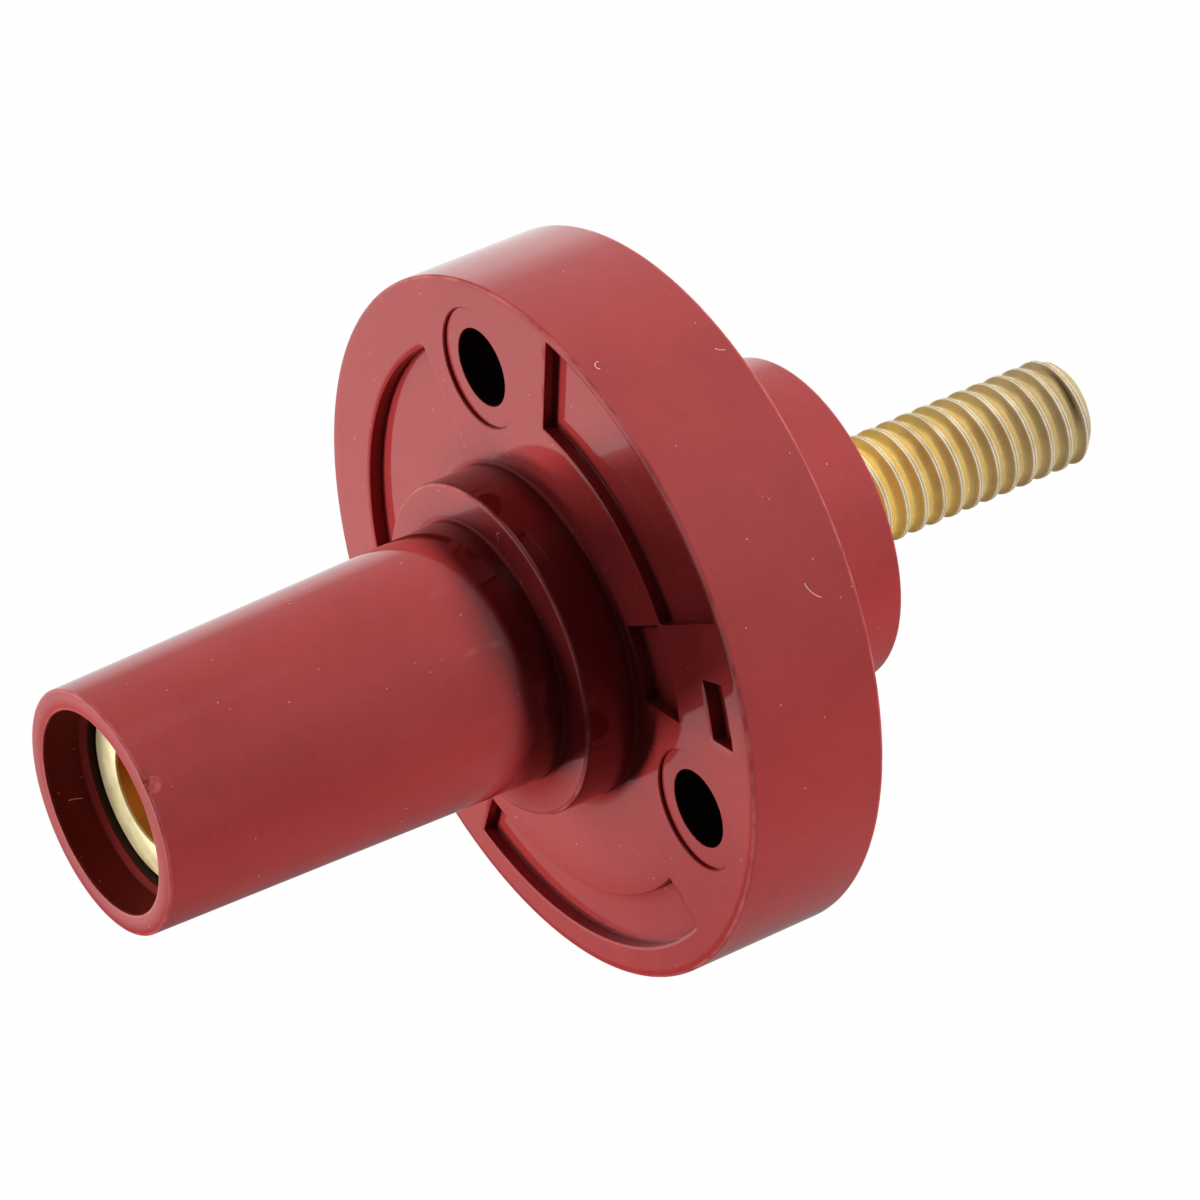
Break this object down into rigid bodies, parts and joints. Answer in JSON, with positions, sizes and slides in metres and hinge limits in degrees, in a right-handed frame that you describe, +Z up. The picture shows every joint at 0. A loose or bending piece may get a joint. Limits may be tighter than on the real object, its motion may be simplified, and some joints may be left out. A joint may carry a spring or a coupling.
{
  "type": "single pole cam receptacle",
  "caption": "Panel receptacle for a single pole cam plug: moulded insulator with round flange and tapered nose around a brass socket with a threaded rear stud.",
  "frame": {"origin": "centre of the flange's rear face, the plane that lies on the panel", "axes": "+Y out of the back along the stud, the nose towards -Y, +Z up through one screw hole"},
  "size_m": [0.0508, 0.0795, 0.0508],
  "materials": {
    "insulator": "satin moulded red",
    "brass": "turned and rolled, bright to dull",
    "pin_steel": "ground",
    "spring_steel": "dark spring temper"
  },
  "bodies": {
    "root": {"housing": "insulator", "contact": "brass", "cam_pin": "pin_steel", "retaining_ring": "spring_steel"}
  },
  "joints": []
}
